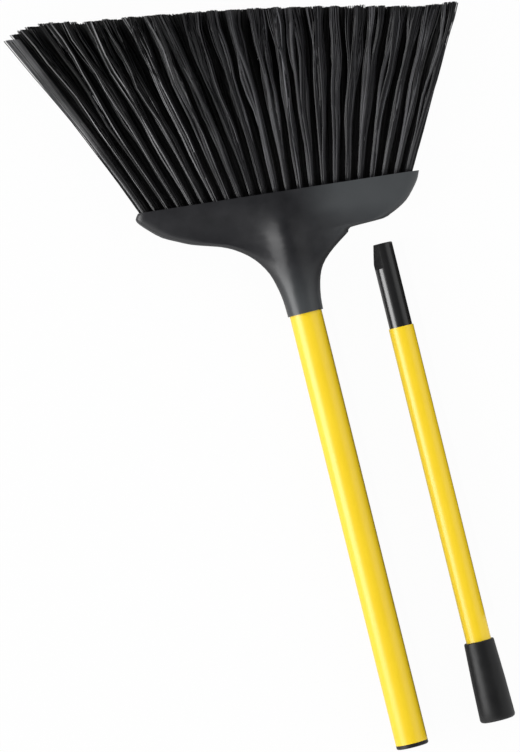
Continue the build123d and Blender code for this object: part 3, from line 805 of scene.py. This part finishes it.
# The trim follows its slant across each tuft, is domed over it, and is not quite even
uneven = add_node(grow, "FunctionNodeRandomValue",
                  {2: 0.0, 3: 1.0, "ID": identity, "Seed": given["Seed"]}, data_type="FLOAT").outputs[1]
uneven = add_node(grow, "ShaderNodeMath", {0: uneven, 1: given["Ragged"]}, operation="MULTIPLY").outputs[0]
short = add_node(grow, "ShaderNodeMath", {0: share, 1: given["Dome"], 2: uneven},
                 operation="MULTIPLY_ADD").outputs[0]
sideways = add_node(grow, "ShaderNodeVectorMath", {0: shift, 1: given["Along the head"]},
                    operation="DOT_PRODUCT").outputs["Value"]
short = add_node(grow, "ShaderNodeMath", {0: sideways, 1: given["Trim slope"], 2: short},
                 operation="MULTIPLY_ADD").outputs[0]
short = add_node(grow, "ShaderNodeMath", {0: short, 1: along}, operation="MULTIPLY").outputs[0]
short = add_node(grow, "ShaderNodeMath", {0: short, 1: -1.0}, operation="MULTIPLY").outputs[0]
pull = add_node(grow, "ShaderNodeVectorMath", {0: given["Out of the head"], "Scale": short},
                operation="SCALE").outputs[0]
shift = add_node(grow, "ShaderNodeVectorMath", {0: shift, 1: pull}, operation="ADD").outputs[0]
print("tufts flattened to", sizes["Flatness"][1].z, "of their width")

# %% The filaments' own form
profile_sides = 3
toned = add_node(grow, "GeometryNodeStoreNamedAttribute",
                 {"Geometry": copies.outputs[0], "Name": "streak_highlight_tone", "Value": streak_highlight_tone},
                 data_type="FLOAT", domain="POINT")
turned = add_node(grow, "GeometryNodeStoreNamedAttribute",
                  {"Geometry": toned.outputs[0], "Name": "outward", "Value": outward},
                  data_type="FLOAT_VECTOR", domain="POINT")
placed = add_node(grow, "GeometryNodeSetPosition", {"Geometry": turned.outputs[0], "Offset": shift})
profile = add_node(grow, "GeometryNodeCurvePrimitiveCircle",
                   {"Resolution": profile_sides, "Radius": given["Filament radius"]})
filaments = add_node(grow, "GeometryNodeCurveToMesh",
                     {"Curve": placed.outputs[0], "Profile Curve": profile.outputs[0], "Fill Caps": True})
smooth = add_node(grow, "GeometryNodeSetShadeSmooth", {"Geometry": filaments.outputs[0]})
realised = add_node(grow, "GeometryNodeRealizeInstances", {"Geometry": smooth.outputs[0]})
painted = add_node(grow, "GeometryNodeSetMaterial",
                   {"Geometry": realised.outputs[0], "Material": given["Finish"]})
add_node(grow, "NodeGroupOutput", {"Bristles": painted.outputs[0]})
print("grow_tufts has", len(grow.nodes), "nodes")

# %% [markdown]
# ## The four rows
# The modifier's inputs are set before Blender first works it out. The result is then taken as a plain mesh,
# one for each row, because the export knows nothing of modifiers, and each mesh stands for its row of solid
# strands. The inner rows are wider and thicker, so that no white shows through between the outer tufts.

# %% Grow the rows
lock_share = 1.6
outer_sizes = {"Tuft radius": 0.0022, "Flare": 1.5}
inner_sizes = {
    "Finish": inner_filament, "Tuft radius": 0.0042, "Flare": 1.3, "Lock spread": 0.0016,
    "Filament radius": 0.00048,
}
row_sizes = {
    "bristles_rear": {}, "bristles_mid_rear": inner_sizes, "bristles_mid_front": inner_sizes,
    "bristles_front": outer_sizes,
}


def turn_to_mesh(piece):
    """Replace a piece's mesh by what its modifiers make of it, and remove them."""
    evaluated = piece.evaluated_get(bpy.context.evaluated_depsgraph_get())
    mesh = bpy.data.meshes.new_from_object(evaluated)
    piece.modifiers.clear()
    piece.data = mesh


def shade_as_locks(mesh):
    """Turn the normals of the filaments towards the way out of their lock."""
    ways = [0.0] * (3 * len(mesh.vertices))
    mesh.attributes["outward"].data.foreach_get("vector", ways)
    own = [vertex.normal.copy() for vertex in mesh.vertices]
    pairs = zip(own, ways[0::3], ways[1::3], ways[2::3])
    mesh.normals_split_custom_set_from_vertices(
        [(normal + lock_share * Vector((x, y, z))).normalized() for normal, x, y, z in pairs])


for row, piece in guides.items():
    modifier = piece.modifiers.new("grow_tufts", "NODES")
    modifier.node_group = grow
    for socket in grow.interface.items_tree:
        if socket.in_out == "INPUT" and socket.name in sizes:
            modifier[socket.identifier] = row_sizes[row].get(socket.name, sizes[socket.name][1])
    turn_to_mesh(piece)
    shade_as_locks(piece.data)
    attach(piece, "broom")
    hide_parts(row)
    print(row, sum(len(p.vertices) - 2 for p in piece.data.polygons), "triangles")

# %% [markdown]
# ## Face of the board
# Under the bristles the board's face closes the pocket. Each bristle row of the solid model stands on a
# strip of it, so the strips are cut from copies of those rows, just under the roots.

# %% Face of the board
skin_depth = 0.0001
strip_gap = 1e-6
face = bmesh.new()
for row in row_levels:
    strip = bmesh.new()
    strip.from_mesh(nodes[row].data)
    bmesh.ops.remove_doubles(strip, verts=strip.verts, dist=strip_gap)
    cut = bmesh.ops.bisect_plane(strip, geom=strip.verts[:] + strip.edges[:] + strip.faces[:],
                                 plane_co=face_point - head_out * skin_depth, plane_no=head_out,
                                 clear_outer=True)
    rim = [part for part in cut["geom_cut"] if isinstance(part, bmesh.types.BMEdge)]
    bmesh.ops.triangle_fill(strip, use_beauty=True, edges=rim, normal=head_out)
    strip_mesh = bpy.data.meshes.new("strip")
    strip.to_mesh(strip_mesh)
    face.from_mesh(strip_mesh)
    strip.free()
face_mesh = bpy.data.meshes.new("board_face")
face.to_mesh(face_mesh)
face.free()
face_mesh.materials.append(black_board)
board_face = bpy.data.objects.new("board_face", face_mesh)
bpy.context.scene.collection.objects.link(board_face)
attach(board_face, "broom")
print("board face:", len(face_mesh.polygons), "faces")
